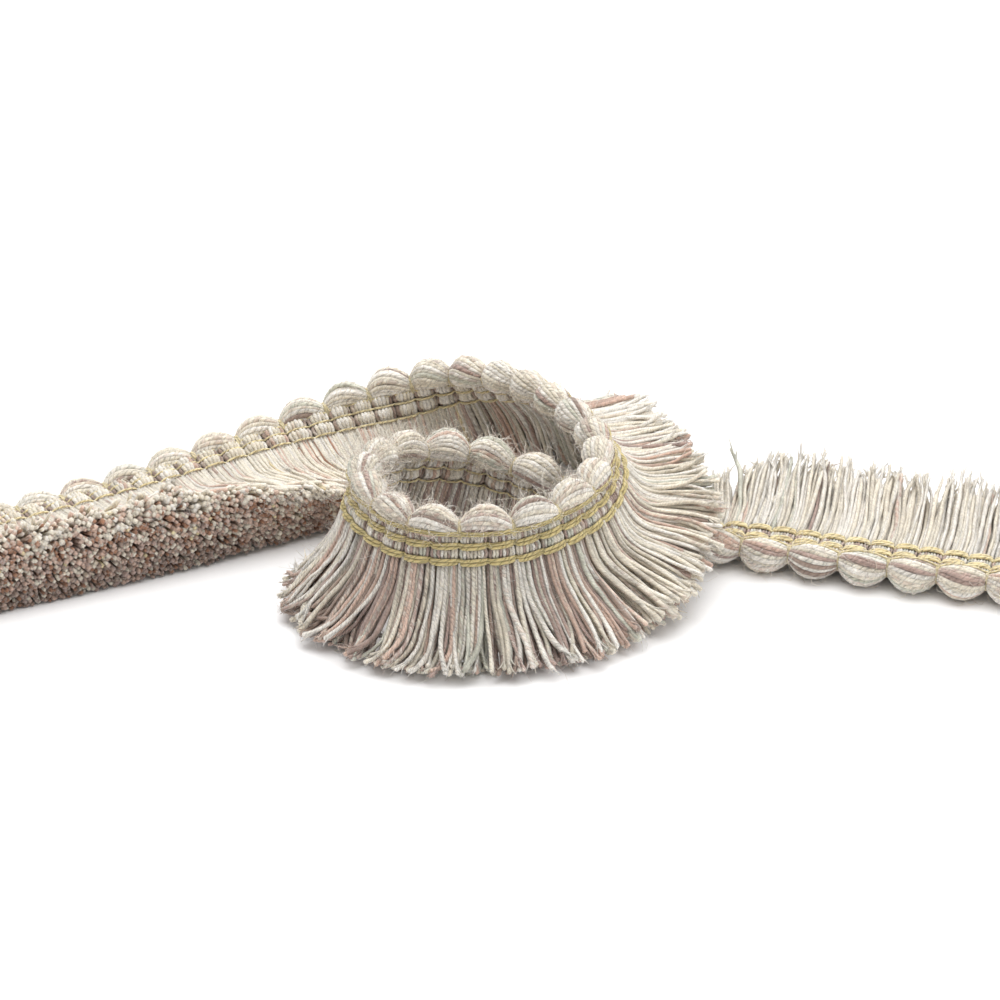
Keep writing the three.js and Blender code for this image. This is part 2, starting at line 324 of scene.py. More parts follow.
def yarn_material(name, ply_pitch, valley_shade, fibre, bump, sheen, roughness):
    """Spun yarn: two plies that make a full turn every ply_pitch mm, with fine fibres along them.
    valley_shade is how bright the valleys between the plies stay under the shade painted there, and fibre how
    much the fibres differ."""
    if name in bpy.data.materials:
        return bpy.data.materials[name]
    rows = (
        ("run", "UVMap", {"uv_map": "yarn_run"}, {}),
        ("place", "SeparateXYZ", {}, {0: ("run", "UV")}),
        ("first", "Attribute", {"attribute_name": "yarn_colour"}, {}),
        ("second", "Attribute", {"attribute_name": "ply_colour"}, {}),
        # The twist is never even: it tightens and slackens over a few millimetres.
        ("slack", "TexNoise", {"noise_dimensions": "1D", "Scale": 0.35, "Detail": 1.0},
         {"W": ("place", "Y")}),
        ("uneven", "Math MULTIPLY", {1: 0.9}, {0: ("slack", "Fac")}),
        ("twist", "Math MULTIPLY_ADD", {1: 1 / ply_pitch}, {0: ("place", "Y"), 2: "uneven"}),
        ("turn", "Math ADD", {}, {0: ("place", "X"), 1: "twist"}),
        ("angle", "Math MULTIPLY", {1: 2 * math.pi}, {0: "turn"}),
        ("sine", "Math SINE", {}, {0: "angle"}),
        ("cosine", "Math COSINE", {}, {0: "angle"}),
        ("ply", "Math ABSOLUTE", {}, {0: "sine"}),
        ("shown", "Math MULTIPLY", {}, {0: "ply", 1: ("first", "Alpha")}),
        # Fibres run along the plies: the noise is drawn out along the yarn and wound with it.
        ("drawn", "Math MULTIPLY", {1: 0.55}, {0: ("place", "Y")}),
        ("wound", "CombineXYZ", {}, {0: "cosine", 1: "sine", 2: "drawn"}),
        ("fibres", "TexNoise", {"Scale": 3.2, "Detail": 4.0, "Roughness": 0.7}, {"Vector": "wound"}),
        # Dye takes unevenly along a yarn, over about half a centimetre.
        ("dye", "TexNoise", {"noise_dimensions": "1D", "Scale": 0.22, "Detail": 2.0},
         {"W": ("place", "Y")}),
        ("dyed_and_lit", "MapRange", {"From Min": 0.3, "From Max": 0.7, "To Min": 0.87, "To Max": 1.1},
         {"Value": ("dye", "Fac")}),
        # The valleys between the plies are painted darker, as painted shade, by as much as the plies show.
        ("dark", "MapRange", {"From Min": 0.0, "From Max": 0.7, "To Min": 1 - valley_shade, "To Max": 0.0},
         {"Value": "ply"}),
        ("darker", "Math MULTIPLY", {}, {0: "dark", 1: ("first", "Alpha")}),
        ("shade", "Math SUBTRACT", {0: 1.0}, {1: "darker"}),
        ("streak", "MapRange", {"From Min": 0.3, "From Max": 0.7, "To Min": 1 - fibre, "To Max": 1 + fibre},
         {"Value": ("fibres", "Fac")}),
        ("both", "Math MULTIPLY", {}, {0: "shade", 1: "streak"}),
        ("all_three", "Math MULTIPLY", {}, {0: "both", 1: "dyed_and_lit"}),
        # The change from one ply's colour to the other is ragged, as fibres of both mingle there.
        ("ragged", "Math MULTIPLY_ADD", {1: 4.0, 2: -2.0}, {0: ("fibres", "Fac")}),
        ("blurred", "Math ADD", {}, {0: "sine", 1: "ragged"}),
        ("which", "MapRange", {"From Min": -0.8, "From Max": 0.8}, {"Value": "blurred"}),
        ("mixed", "Mix", {"data_type": "RGBA"}, {0: "which", 6: ("first", "Color"), 7: ("second", "Color")}),
        ("colour", "VectorMath SCALE", {}, {0: ("mixed", 2), "Scale": "all_three"}),
        ("part", "Math MULTIPLY", {1: 0.6}, {0: ("fibres", "Fac")}),
        ("height", "Math ADD", {}, {0: "shown", 1: "part"}),
        ("relief", "Bump", {"Strength": bump, "Distance": 0.00025}, {"Height": "height"}),
    )
    # Light passes through the outermost fibres of a yarn, which softens the gaps between yarns.
    settings = {
        "Roughness": roughness, "Sheen Weight": sheen, "Sheen Roughness": 0.5, "Specular IOR Level": 0.2,
        "Subsurface Weight": 0.35, "Subsurface Radius": (1.0, 0.9, 0.8), "Subsurface Scale": 0.8 * MM,
    }
    return new_material(name, rows, {"Base Color": "colour", "Normal": "relief"}, settings)


def soft_yarn():
    """Two-ply spun acrylic yarn: matt and hairy, its plies turning once in 2.3 mm, with painted shade in the
    valleys.
    """
    return yarn_material("two_ply_spun_yarn", 2.3, 0.68, 0.45, 1.0, 0.35, 0.92)


def bead_yarn():
    """The same spun yarn, pulled softer and rounder on the beads, so its plies turn once in 2.8 mm."""
    return yarn_material("loose_spun_yarn", 2.8, 0.45, 0.42, 0.9, 0.4, 0.94)


def gold_cord():
    """Twisted viscose cord: denser and a little silky, its long slanting plies turning once in 3.4 mm."""
    return yarn_material("twisted_viscose_cord", 3.4, 0.55, 0.32, 0.9, 0.1, 0.7)


def loose_fibre():
    """Single loose fibres: too fine for plies, pale and matt."""
    return yarn_material("loose_fibre", 30.0, 1.0, 0.0, 0.0, 0.2, 0.8)


def ground_cloth():
    """Plain-woven cotton ground of the heading: matt, with ribs 1 mm apart, seen between the yarns."""
    rows = (
        ("run", "UVMap", {"uv_map": "cloth_mm"}, {}),
        ("weave", "TexWave", {"wave_type": "BANDS", "bands_direction": "X", "Scale": 0.32, "Distortion": 1.0},
         {"Vector": ("run", "UV")}),
        ("noise", "TexNoise", {"Scale": 1.2, "Detail": 3.0}, {"Vector": ("run", "UV")}),
        ("mixed", "Math MULTIPLY", {}, {0: ("weave", "Fac"), 1: ("noise", "Fac")}),
        ("tone", "ValToRGB", {}, {0: "mixed"}),
        ("relief", "Bump", {"Strength": 0.5, "Distance": 0.0002}, {"Height": "mixed"}),
    )
    return new_material(
        "woven_cotton_ground", rows, {"Base Color": ("tone", "Color"), "Normal": "relief"},
        {"Roughness": 0.9, "Specular IOR Level": 0.2}, {"tone": ("#8C8072", "#BDB2A2")})


def studio_paper():
    """Matt white background paper: faint grain, no gloss."""
    rows = (
        ("spot", "TexCoord", {}, {}),
        ("grain", "TexNoise", {"Scale": 900.0, "Detail": 2.0}, {"Vector": ("spot", "Object")}),
        ("tone", "ValToRGB", {}, {0: ("grain", "Fac")}),
    )
    return new_material("matt_white_paper", rows, {"Base Color": ("tone", "Color")},
                        {"Roughness": 0.95, "Specular IOR Level": 0.0}, {"tone": ("#F7F7F8", "#FBFBFC")})


# Fringe yarns: where they leave the heading, in millimetres from the pinches, how far they run on
# straight, and the share of their reach over which they bend
ROOT = 6.9
ROOT_STRAIGHT = 2.4
BEND_DONE = 0.45
CLUMPS_PER_SCALLOP = 2
# Steps in which a yarn is traced, the tail that may lie on the surface, and the pitch of its waves
TRACED = 24
TAIL = 3.0
WAVE_LENGTH = 4.6

# Where the rows of yarn lie through the fringe, from its back at -1 to its stitched face at 1. The two
# outermost rows are loose and lie over the others with gaps between, as their density says.
ROW_LAYERS = (-1.0, -0.72, -0.28, 0.28, 0.72, 1.0)
OUTERMOST = 0.86
LOOSE_DENSITY = 0.58

# The length that begins at this scallop lies where the arch turns down.
ARCH_TURNS_DOWN = 12
# The fringe right of this scallop is finer and falls open at the tips.
FINE_BEGINS = 33

# Spots where the yarns lie in a way of their own: the middle and the width, in scallops
UNDER_ARCH = (14.2, 1.7)
OUTER_TURN = (16.6, 1.9)
FRONT_LEFT = (24.2, 2.2)
LOOP_LEFT = (26.3, 1.7)
RIGHT_BEGINS = (34.4, 1.2)

# The highest value of a colour, the share up to which a colour is only an accent, and how often the
# yarns of a clump are alike: the loose outermost yarns and those under them
WHITEST = 0.95
ACCENT = 0.03
ALIKE = (0.3, 0.5)
# How even the shades are along the fringe, by scallop, and the light and shade painted on the pile by layer:
# lighter at its lit upper edge, darker down towards the surface
CALM = ((12, 14, 18.5, 21, 32, 34), (0.3, 0.6, 0.6, 0, 0.2, 0.6))
PILE_PAINTED_LIGHT = ((-1, -0.5, 0.1, 1), (1.24, 1.02, 0.86, 0.6))

# Shares of the yarn colours by the scallop where a stretch begins: first those of the loose outermost
# yarns, then those of the darker yarns under them
FRINGE_SHARES = (
    (0, dict(cream=0.44, ivory=0.36, rose=0.08, sage=0.07, mauve=0.05),
        dict(cream=0.34, ivory=0.16, sage=0.16, rose=0.12, mauve=0.12, taupe=0.1)),
    (12, dict(cream=0.46, ivory=0.2, mauve=0.12, taupe=0.06, rose=0.16),
         dict(cream=0.42, taupe=0.18, mauve=0.2, rose=0.2)),
    (13.4, dict(ivory=0.4, cream=0.4, sage=0.04, rose=0.1, mauve=0.04, gold=0.02),
           dict(cream=0.48, ivory=0.22, sage=0.06, taupe=0.03, mauve=0.07, rose=0.14)),
    (18.0, dict(ivory=0.46, cream=0.3, sage=0.07, rose=0.1, mauve=0.05, gold=0.02),
           dict(sage=0.08, taupe=0.06, mauve=0.14, cream=0.54, rose=0.18)),
    (21.2, dict(ivory=0.54, cream=0.17, sage=0.1, rose=0.1, mauve=0.07, gold=0.02),
           dict(sage=0.14, taupe=0.3, mauve=0.26, cream=0.18, rose=0.12)),
    (25.3, dict(ivory=0.4, cream=0.26, sage=0.06, rose=0.17, mauve=0.11),
           dict(sage=0.08, taupe=0.1, mauve=0.2, cream=0.4, rose=0.22)),
    (28, dict(cream=0.44, ivory=0.2, mauve=0.14, taupe=0.06, rose=0.16),
         dict(cream=0.4, taupe=0.18, mauve=0.22, rose=0.2)),
    (33, dict(cream=0.5, ivory=0.42, sage=0.03, rose=0.03, gold=0.01, terracotta=0.01),
         dict(cream=0.52, ivory=0.3, sage=0.08, taupe=0.03, mauve=0.03, rose=0.04)),
)
# The pile's cut ends, from its lit upper edge down to the surface: the paler tones above and the darker ones
# below are partly the yarns' own colours and partly painted light and shade
PILE_SHARES = (
    (-1.0, dict(cream=0.7, ivory=0.13, rose=0.15, terracotta=0.01, gold=0.01)),
    (-0.56, dict(cream=0.2, rose=0.36, mauve=0.05, terracotta=0.36, gold=0.03)),
    (-0.15, dict(cream=0.28, rose=0.3, mauve=0.12, taupe=0.08, terracotta=0.2, gold=0.02)),
    (0.4, dict(cream=0.16, rose=0.22, mauve=0.2, taupe=0.24, terracotta=0.18)),
)


def at_spot(scallop, spot):
    """1 at the middle of a spot on the trim, falling away smoothly on both sides over its width."""
    middle, width = spot
    return np.exp(-((scallop - middle) / width) ** 2)


def trace_strands(strands, steps):
    """Paths of strands from under the heading to their tips, bending from its turn to the flare."""
    scallop, layer, length, lean, lift, curl, rise, bow, wave, radius = (strands[name] for name in (
        "scallop", "layer", "length", "lean", "lift", "curl", "rise", "bow", "wave", "radius"))
    trim = trim_at(scallop)
    tilt = np.sin(np.radians(trim["flare"]))
    below = (1 + layer * np.clip(3 * tilt, -1, 1)) / 2
    lowest = radius + below * 2.4
    # Where the loop turns in under the arch, the inner yarns hang down instead of flaring out.
    hang = -58 * np.clip(-layer * 1.3, 0, 1) * at_spot(scallop, UNDER_ARCH)
    tip_turn = trim["flare"] + layer * trim["fan"] / 2 + lift + hang
    point = on_trim(scallop, np.full(scallop.shape, ROOT), layer * 1.15)
    path = [point]
    for step in range(1, steps + 1):
        share = (step - 0.5) / steps
        gone = np.clip((share * length - ROOT_STRAIGHT) / (BEND_DONE * trim["reach"]), 0, 1)
        bend = gone * gone * (3 - 2 * gone)
        end = np.clip((share - 0.66) / 0.2, 0, 1)
        turn = trim["roll"] + (tip_turn - trim["roll"]) * bend
        turn = turn + bow * np.sin(np.pi * 1.6 * share) + rise * end
        kink = bow * (0.6 * np.cos(2.2 * np.pi * share) + 0.9 * np.sin(5.1 * np.pi * share + 40 * lean))
        kink = kink + wave * np.sin(2 * np.pi * share * length / WAVE_LENGTH + 30 * lift)
        heading_lean = np.radians((trim["comb"] + lean) * bend + curl * end + kink)
        heading = across_at(trim, turn) * np.cos(heading_lean)[:, None]
        heading = heading + trim["along"] * np.sin(heading_lean)[:, None]
        point = point + heading * (length / steps)[:, None]
        point[:, 2] = np.maximum(point[:, 2], lowest)
        path.append(point)
    return np.stack(path, axis=1), lowest


def settle_strands(strands, steps):
    """Strands whose run along the surface is cut back to a short tail."""
    paths, lowest = trace_strands(strands, TRACED)
    length = strands["length"]
    lying = np.sum(paths[:, :, 2] <= lowest[:, None] + 1e-6, axis=1) * length / TRACED
    paths = trace_strands({**strands, "length": length - np.maximum(lying - TAIL, 0)}, TRACED)[0]
    return paths[:, np.round(np.linspace(0, TRACED, steps + 1)).astype(int)]


def plied(rng, colours, shares, marled):
    """Each yarn's second ply: its own colour a shade off, or on a marled yarn nearer to another one."""
    other = 0.45 * pick(rng, shares, len(colours)) + 0.55 * colours
    chosen = rng.random((len(colours), 1)) < marled
    return np.where(chosen, other, colours * rng.uniform(0.9, 1.08, (len(colours), 1)))


def yarn_colours(rng, scallop, layer, pile, clump):
    """The two ply colours of every fringe yarn, from the shares of the stretch or of the pile it is in."""
    first, second = np.zeros((len(scallop), 3)), np.zeros((len(scallop), 3))
    table, place = (PILE_SHARES, layer) if pile else (FRINGE_SHARES, scallop)
    place = place + rng.normal(0, 0.1 if pile else 0.4, len(place))
    if pile:
        place = place + 0.32 * smooth_noise(scallop * 2.1 + 2.5 * layer, 41)
    starts = [row[0] for row in table]
    row_of = np.clip(np.searchsorted(starts, place, side="right") - 1, 0, len(table) - 1)
    under = 0 if pile else (np.abs(layer) < OUTERMOST).astype(int)
    group = (clump - clump.min()) * 2 + under
    for row in np.unique(row_of):
        for depth, shares in enumerate(table[row][1:]):
            chosen = (row_of == row) & (under == depth)
            plain = {name: share for name, share in shares.items() if share > ACCENT}
            # Neighbours in a clump often share a colour, but not in the pile.
            alike = rng.random((chosen.sum(), 1)) < (0.0 if pile else ALIKE[depth])
            shared = pick(rng, plain, group.max() + 1)[group[chosen]]
            first[chosen] = np.where(alike, shared, pick(rng, shares, chosen.sum()))
            second[chosen] = plied(rng, first[chosen], plain, 0.4)
    shade = rng.uniform(0.72, 1.03, len(scallop))
    if pile:
        # The pile is painted lighter at its upper edge and darker towards the surface, as painted light and
        # shade.
        shade = (0.45 + 0.55 * shade) * np.interp(layer, *PILE_PAINTED_LIGHT)
    else:
        # The loose yarns on the outside are painted brighter, a painted highlight for the light they catch
        # over the yarns under them.
        shade = shade + 0.17 * (np.abs(layer) > OUTERMOST)
        calm = np.interp(scallop, *CALM)
        shade = shade * (1 - calm) + 0.98 * calm
    # No yarn is whiter than white: a colour past that is scaled back as a whole.
    return tuple(ply * np.minimum(shade, WHITEST / ply.max(axis=1))[:, None] for ply in (first, second))


def fringe_layout(sizes, first, pile, rng):
    """Where the yarns of one length stand: their scallops and their layers through the fringe."""
    across = sizes.pile_yarns_in_a_row if pile else sizes.yarns_in_a_row
    if first >= FINE_BEGINS:
        across = round(across * 1.15)
    if first == ARCH_TURNS_DOWN:
        # Its yarns spread here, and more of them close the gaps.
        across = round(across * 1.3)
    columns = across * SCALLOPS_PER_LENGTH
    places = np.linspace(-1, 1, sizes.pile_rows) if pile else np.array(ROW_LAYERS)
    rows = len(places)
    layer = np.repeat(places, columns)
    offset = 0.5 + 0.5 * (np.arange(rows * columns) // columns % 2)
    scallop = first + (np.tile(np.arange(columns), rows) + offset) * SCALLOPS_PER_LENGTH / columns
    if not pile:
        kept = (np.abs(layer) < OUTERMOST) | (rng.random(len(layer)) < LOOSE_DENSITY)
        scallop, layer = scallop[kept], layer[kept]
    scallop = scallop + rng.uniform(-0.04, 0.04, len(scallop))
    scallop = np.clip(scallop, first + 0.01, first + SCALLOPS_PER_LENGTH - 0.01)
    jitter = 0.6 / rows if pile else 0.1
    moved = layer + rng.uniform(-jitter, jitter, len(layer))
    return scallop, np.where(np.abs(layer) < OUTERMOST, moved, layer)


def pile_lay(scallop, layer, length, rng):
    """How the yarns of the pile lie, in degrees and millimetres, and how far each is puffed up."""
    def vary(size):
        return rng.normal(0, size, len(scallop))

    still = np.zeros(len(scallop))
    lay = {"lean": vary(1.1), "lift": vary(0.7), "curl": vary(3), "bow": still, "wave": still,
           "length": length * (1 + vary(0.009))}
    # At the left end the pile's upper ends are loose: they curl up and fall about.
    unruly = np.clip((-layer - 0.35) / 0.6, 0, 1) * np.clip((6.2 - scallop) / 1.5, 0, 1)
    tuft = scallop * 3.4 + 2.2 * layer
    lay["rise"] = -unruly * (16 + 14 * smooth_noise(tuft, 29) + vary(9))
    lay["curl"] = lay["curl"] + unruly * (20 * smooth_noise(tuft + 50, 31) + vary(12))
    lay["length"] = lay["length"] - unruly * (1.0 + 1.2 * smooth_noise(tuft + 90, 37))
    # Further on, the topmost yarns lie loose over the others in long soft waves.
    loose = (layer < -OUTERMOST) * (scallop > 4.5)
    lay["lean"] = lay["lean"] + loose * (5 * smooth_noise(scallop * 1.7, 43) + vary(3.5))
    lay["curl"] = lay["curl"] + loose * (14 * smooth_noise(scallop * 1.3, 47) + vary(8))
    lay["bow"] = still + loose * vary(2.2)
    return lay, np.maximum(unruly, loose)


def brush_lay(sizes, scallop, layer, clump, length, fine, rng):
    """How the yarns of the brush lie, in degrees and millimetres."""
    def vary(size):
        return rng.normal(0, size, len(scallop))

    count = len(scallop)
    pull = np.degrees(np.arctan(((clump + 0.5) / CLUMPS_PER_SCALLOP - scallop) * PITCH / length))
    spread = np.where(np.abs(layer) > OUTERMOST, 4.6, 1.6) * (0.6 if fine else 1.0)
    lean = 0.5 * pull + 3.2 * smooth_noise(clump * 3.17 + layer * 0.4, 11) + vary(1) * spread
    lift = vary(1.5)
    curl = 12 * smooth_noise(clump * 1.31 + layer * 0.5, 13) + vary(6)
    # Most tips at the front left bend over to one side.
    bent = sizes.tip_bend * at_spot(scallop, FRONT_LEFT)
    curl = curl + bent * rng.uniform(0.3, 1.5, count) * np.where(rng.random(count) < 0.7, 1, 0.1)
    rise = vary(7)
    stray = rng.random(count) < sizes.stray_share
    lean, curl = lean + stray * vary(6), curl + stray * vary(22)
    lift = lift + stray * vary(4)
    bow = vary(1.7)
    wave = np.where(rng.random(count) < 0.2, vary(4), 0.0)
    length = length * (1 + vary(0.055 if fine else 0.035)) + 0.8 * smooth_noise(clump * 2.3, 17)
    # The outer turn is cut a little shorter, and the right end a little longer where it begins.
    length = length - 1.7 * at_spot(scallop, OUTER_TURN) + 1.3 * at_spot(scallop, RIGHT_BEGINS)
    # The tips at the left of the loop are the curliest.
    curly = at_spot(scallop, LOOP_LEFT)
    lean, curl = lean + curly * vary(5), curl + curly * vary(34)
    length = length + curly * vary(1.3)
    rise, wave = rise - curly * rng.uniform(-10, 26, count), wave + curly * vary(9)
    return {"lean": lean, "lift": lift, "curl": curl, "rise": rise, "bow": bow, "wave": wave,
            "length": length}


def fringe_yarns(context, number):
    """One length of fringe: its yarns in layers, drawn together in clumps, and their loose fibres."""
    sizes = context.scene.fringe_sizes
    rng = np.random.default_rng(500 + number)
    first, pile = number * SCALLOPS_PER_LENGTH, number < PILE_LENGTHS
    fine = first >= FINE_BEGINS
    scallop, layer = fringe_layout(sizes, first, pile, rng)
    count = len(layer)
    # Clumps of a few yarns lean towards one place and share the bend of their tips.
    ragged = 0.12 * smooth_noise(scallop * 5.3 + 31 * layer, 7)
    clump = np.floor(scallop * CLUMPS_PER_SCALLOP + ragged).astype(int)
    length = trim_at(scallop)["reach"] + ROOT_STRAIGHT - 0.2
    if pile:
        lay, puffed = pile_lay(scallop, layer, length, rng)
    else:
        lay, puffed = brush_lay(sizes, scallop, layer, clump, length, fine, rng), 0
    thick = (sizes.pile_thickness if pile else sizes.yarn_thickness) / MM / 2 * (0.9 if fine else 1.0)
    # Loose yarns puff up and close the gaps between them.
    radius = thick * rng.uniform(0.75, 1.18, count) * (1 + 0.25 * puffed)
    strands = {"scallop": scallop, "layer": layer, "radius": radius, **lay}
    colours, plies = yarn_colours(rng, scallop, layer, pile, clump)
    start = rng.uniform(0, 60, count)
    # The plies show most on the outermost yarns at the front of the loop.
    skirt = np.clip((scallop - 19.5) / 3, 0.35, 1)
    least = np.where(np.abs(layer) > OUTERMOST, 0.6, 0.2)
    clear = rng.uniform(least, 1.0) * (0.3 if pile else 0.5 if fine else skirt)
    # Which yarns, their steps, the thickness of their cut ends, and whether fibres stand off them
    if pile:
        upper, middle = layer < -OUTERMOST, layer < -0.3
        detail = ((upper, 10, 1.15, True), (middle & ~upper, 4, 1.55, True), (~middle, 2, 1.55, False))
    else:
        shown, tip_size = np.abs(layer) > 0.5, 0.6 if fine else 1.15
        detail = ((shown, 12, tip_size, True), (~shown, 8, tip_size, False))
    tubes, ends = [], []
    for chosen, steps, tip_size, hairy in detail:
        paths = settle_strands({name: values[chosen] for name, values in strands.items()}, steps)
        grown = np.interp(np.linspace(0, 1, steps + 1), [0, 0.12, 0.75, 1], [0.75, 1, 1, tip_size])
        slub = 1 + rng.normal(0, 0.09, (chosen.sum(), steps + 1))
        paths, radii = round_tips(paths, radius[chosen, None] * grown * slub)
        # The colour is painted lighter towards the cut ends, a painted highlight for the light they catch
        # more than the sides of the yarn, and a little darker at the root.
        tip = np.interp(np.linspace(0, 1, paths.shape[1]), [0, 0.8, 1], [0.9, 1.0, 1.14])[:, None]
        tubes.append(tube(paths, radii, 4, colours[chosen, None] * tip, start[chosen],
                          plies[chosen, None] * tip, clear[chosen]))
        if hairy:
            ends.append((paths, colours[chosen]))
            if not pile:
                tubes.append(brushed_tips(paths, radii, colours[chosen], 1.6 if fine else 1.0, rng))
    tubes += loose_fibres(ends, sizes.pile_fibres if pile else sizes.fringe_fibres, rng)
    name = f"fringe_{number + 1:02d}"
    return yarn_object(name + "_yarns", tubes, soft_yarn(), [name])


def brushed_tips(paths, radii, colours, reach, rng):
    """Two loosened wisps at the cut end of each yarn, where its plies come apart."""
    root = np.repeat(paths[:, -4], 2, axis=0)
    ahead = np.repeat(unit(paths[:, -2] - paths[:, -4]), 2, axis=0)
    count = len(root)
    aside = 0.22 * rng.normal(size=(count, 3))
    length = np.repeat(np.linalg.norm(paths[:, -1] - paths[:, -4], axis=1), 2)
    length = length + reach * rng.uniform(-1.0, 1.3, count)
    wisp = np.repeat(radii[:, 3] * 0.45, 2)[:, None] * np.array([0.8, 1.0, 0.85, 0.3])
    point, path = root, [root]
    for step in range(3):
        onward = unit(ahead + aside * (step + 0.5) * 0.6) * (length / 3)[:, None]
        point = above_surface(point + onward, 0.25)
        path.append(point)
    tint = np.repeat(colours, 2, axis=0) * rng.uniform(0.95, 1.15, (count, 1))
    return tube(np.stack(path, axis=1), wisp, 3, tint, rng.uniform(0, 60, count), clear=0.2)


def loose_fibres(ends, per_scallop, rng):
    """Fibres that stand off the outer yarns, most of them near the tips."""
    made = []
    for paths, colours in ends:
        share = len(paths) / sum(len(others) for others, _ in ends)
        count = int(per_scallop * SCALLOPS_PER_LENGTH * share)
        which = rng.integers(0, len(paths), count)
        knots = paths.shape[1]
        knot = np.minimum((rng.beta(1.5, 1.0, count) * knots).astype(int), knots - 2)
        root, ahead = paths[which, knot], paths[which, knot + 1]
        aim = unit(ahead - root) + 0.75 * rng.normal(size=(count, 3))
        length = rng.gamma(3.0, 0.65, count)
        # A fibre is painted paler than its yarn, for the light that passes through it.
        made.append(hairs(root, aim, length, 0.8, 0.05, 0.65 * colours[which] + 0.3, 2, rng))
    return made


class FRINGE_OT_fringe(bpy.types.Operator):
    """Make the fourteen lengths of cut brush fringe"""

    bl_idname = "fringe_trim.fringe"
    bl_label = "Brush Fringe"

    def execute(self, context):
        for number in range(LENGTHS):
            fringe_yarns(context, number)
        return {"FINISHED"}


def bead_halves(full):
    """Half the height and half the depth of a bead's section, by how full it is there."""
    return (pinch + (middle - pinch) * full for pinch, middle in zip(PINCH_HALF, BEAD_HALF))


def bead_point(scallop, angle, inset):
    """A point on the beads' skin, at an angle from the side of the heading and inset under the skin."""
    height, depth = bead_halves(fullness(scallop))
    across = BEAD_LOWER_EDGE - height + np.cos(angle) * (height - inset)
    return on_trim(scallop, across, np.sin(angle) * (depth - inset))


def bead_face(full, across):
    """How far the face of a bead stands out at a place across the heading."""
    height, depth = bead_halves(full)
    return depth * np.sqrt(np.clip(1 - ((across - BEAD_LOWER_EDGE + height) / height) ** 2, 0, 1))


class FRINGE_OT_beads(bpy.types.Operator):
    """Make the scallop edge: soft yarns that swell between the pinches"""

    bl_idname = "fringe_trim.beads"
    bl_label = "Scallop Beads"

    def execute(self, context):
        sizes = context.scene.fringe_sizes
        rng = np.random.default_rng(42)
        yarns = sizes.yarns_in_a_bead
        scallop = np.append((np.arange(SCALLOPS)[:, None] + BEAD_PLACES).ravel(), SCALLOPS)
        full = fullness(scallop)
        slant = sizes.bead_slant * np.where(full > 0, scallop - np.floor(scallop) - 0.5, 0)
        base = 2 * np.pi * np.arange(yarns) / yarns
        number = np.floor(np.minimum(scallop, SCALLOPS - 0.01)).astype(int)
        shift = rng.normal(0, 0.045, (yarns, SCALLOPS))[:, number] + rng.normal(0, 0.1, SCALLOPS)[number]
        angle = base[:, None] + slant + shift * full
        sink = rng.normal(0, 0.12, (yarns, SCALLOPS))[:, number] * full
        thick = sizes.bead_yarn_thickness / MM / 2 * rng.uniform(0.85, 1.15, (yarns, SCALLOPS))
        radius = PINCHED_YARN + (thick[:, number] - PINCHED_YARN) * full
        paths = bead_point(np.broadcast_to(scallop, angle.shape), angle, radius * 0.95 + sink)
        # Each bead has its own mix of strands, with mauve ones where it meets the face of the heading.
        mix = dict(cream=0.4, ivory=0.38, sage=0.1, rose=0.03, mauve=0.05, taupe=0.04)
        low = dict(mauve=0.6, rose=0.15, taupe=0.1, cream=0.15)
        plies = dict(cream=0.4, rose=0.2, mauve=0.25, sage=0.15)
        # On the right part the mauve strands come to lie in the middle of what is seen.
        on_right = np.arange(SCALLOPS) >= FINE_BEGINS
        lower = np.abs(base[:, None] - np.where(on_right, 2.1, 0.55)) < np.where(on_right, 0.4, 0.6)
        tint = np.where(lower[..., None], pick(rng, low, lower.size).reshape(yarns, SCALLOPS, 3),
                        pick(rng, mix, lower.size).reshape(yarns, SCALLOPS, 3))
        marled = rng.random((yarns, SCALLOPS, 1)) < 0.4
        ply = np.where(marled, pick(rng, plies, lower.size).reshape(tint.shape), tint)
        tubes = [tube(paths, radius, 5, tint[:, number], rng.uniform(0, 40, yarns),
                      0.5 * (ply + tint)[:, number], rng.uniform(0.25, 0.8, yarns))]
        # The filling: fatter strands under the skin, painted in darker tones as painted shade, which shows in
        # the gaps between the others.
        filling = 8
        inner = 2 * np.pi * np.arange(filling)[:, None] / filling
        inner = np.broadcast_to(inner, (filling, len(scallop)))
        fat = 0.35 + 0.7 * np.broadcast_to(full, inner.shape)
        paths = bead_point(np.broadcast_to(scallop, inner.shape), inner, fat * 0.9 + 0.55)
        dark = pick(rng, dict(taupe=0.6, mauve=0.4), filling) * 0.8
        tubes.append(tube(paths, fat, 4, dark, rng.uniform(0, 40, filling), clear=0.3))
        yarn_object("scallop_yarns", tubes, bead_yarn(), ["scallop_edge"])
        return {"FINISHED"}


